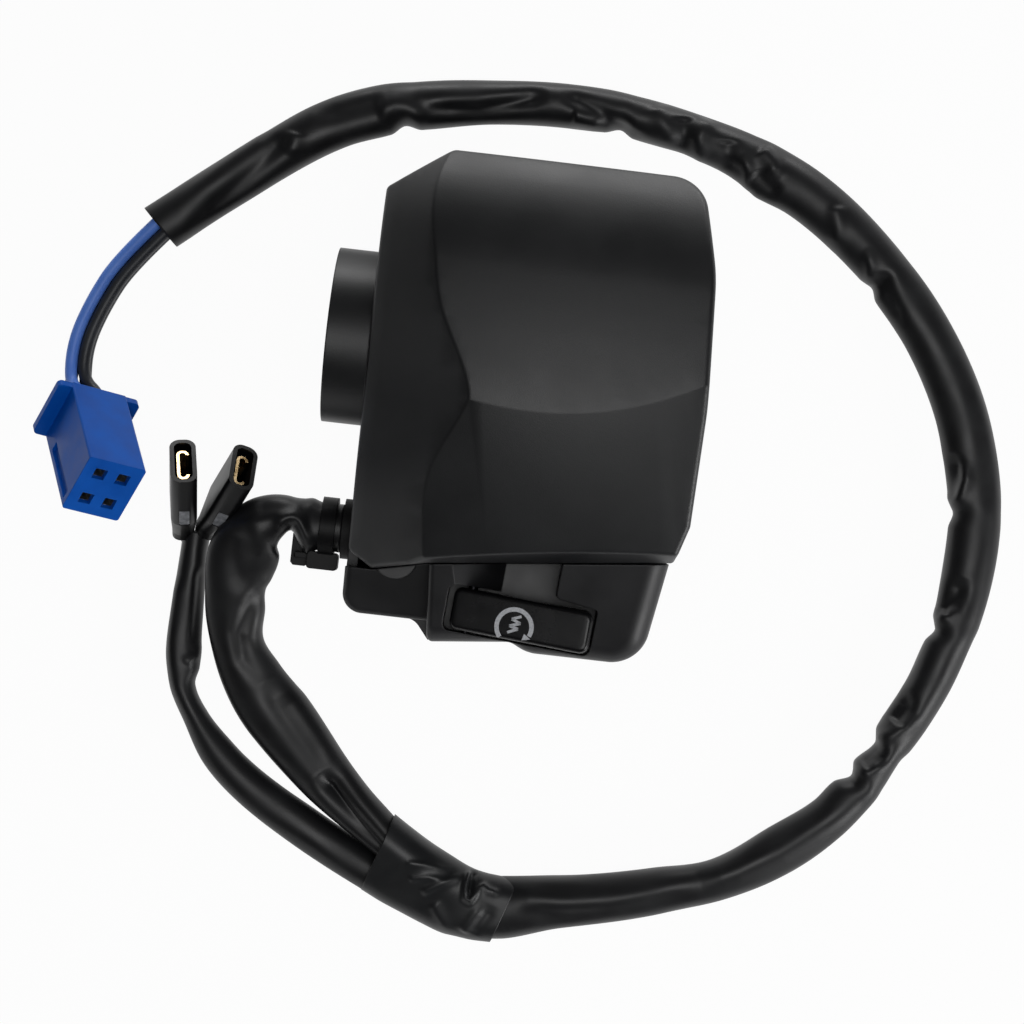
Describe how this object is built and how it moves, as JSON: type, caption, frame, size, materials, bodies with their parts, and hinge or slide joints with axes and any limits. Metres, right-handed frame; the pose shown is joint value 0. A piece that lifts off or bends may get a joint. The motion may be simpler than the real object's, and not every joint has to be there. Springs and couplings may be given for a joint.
{
  "type": "starter switch",
  "caption": "Right-hand handlebar switch housing with a hinged starter button, a sleeved harness, a blue connector and spade terminals for the brake switch.",
  "frame": {"origin": "on the handlebar's axis, at the inner end face of the neck", "axes": "+X along the handlebar to its outer end, +Y up on the motorbike, +Z towards the rider"},
  "size_m": [0.2023, 0.1792, 0.06],
  "materials": {
    "cover_plastic": "fine grain, matt",
    "case_plastic": "satin",
    "button_plastic": "gloss, pale symbol on the face",
    "inner_plastic": "moulded, matt",
    "screw_steel": "zinc plated",
    "spring_steel": "bright wire",
    "contact_brass": "bright",
    "terminal_brass": "pale, bright",
    "terminal_tin": "tinned",
    "grommet_rubber": "matt",
    "tie_nylon": "semi-gloss",
    "sleeve_vinyl": "semi-gloss, wrinkled",
    "tape_vinyl": "semi-gloss",
    "spade_vinyl": "semi-gloss",
    "connector_blue": "smooth satin",
    "wire_blue": "satin",
    "wire_black": "satin",
    "wire_grey": "satin"
  },
  "bodies": {
    "housing": {"rear_cover": "cover_plastic", "front_case": "case_plastic", "case_screws": "screw_steel", "button_pivot_pin": "screw_steel", "return_spring": "spring_steel", "switch_base": "inner_plastic", "fixed_contacts": "contact_brass", "base_screws": "screw_steel", "wire_clamp": "screw_steel", "clamp_screw": "screw_steel", "starter_leads": "wire_black", "outlet_grommet": "grommet_rubber", "cable_tie": "tie_nylon", "harness_sleeve_near": "sleeve_vinyl", "junction_tape": "tape_vinyl", "branch_sleeve": "sleeve_vinyl", "harness_sleeve_far": "sleeve_vinyl", "connector_housing": "connector_blue", "connector_terminals": "terminal_tin", "lead_blue": "wire_blue", "lead_black": "wire_black", "lead_grey": "wire_grey", "lead_dark": "wire_black", "spade_cover_left": "spade_vinyl", "spade_cover_right": "spade_vinyl", "spade_terminal_left": "terminal_brass", "spade_terminal_right": "terminal_brass", "brake_lead_left": "wire_black", "brake_lead_right": "wire_black"},
    "button": {"starter_button": "button_plastic"},
    "plunger": {"plunger": "inner_plastic", "contact_bridge": "contact_brass", "bridge_clip": "spring_steel", "contact_spring": "spring_steel"}
  },
  "joints": [
    {"name": "button_hinge", "type": "hinge", "parent": "housing", "child": "button", "pos_m": [0.03399, -0.05175, 0.0086], "axis": [0.0732, 0.9973, 0], "range_deg": [0, 5]},
    {"name": "plunger_slide", "type": "slide", "parent": "housing", "child": "plunger", "axis": [0, 0, -1], "range_m": [0, 0.00165], "stiffness_N_per_m": 150, "springref_m": -0.001, "deforming": ["return_spring"]}
  ],
  "couplings": [
    {"joint": "button_hinge", "follows": "plunger_slide", "rad_per_m": 49.505}
  ]
}
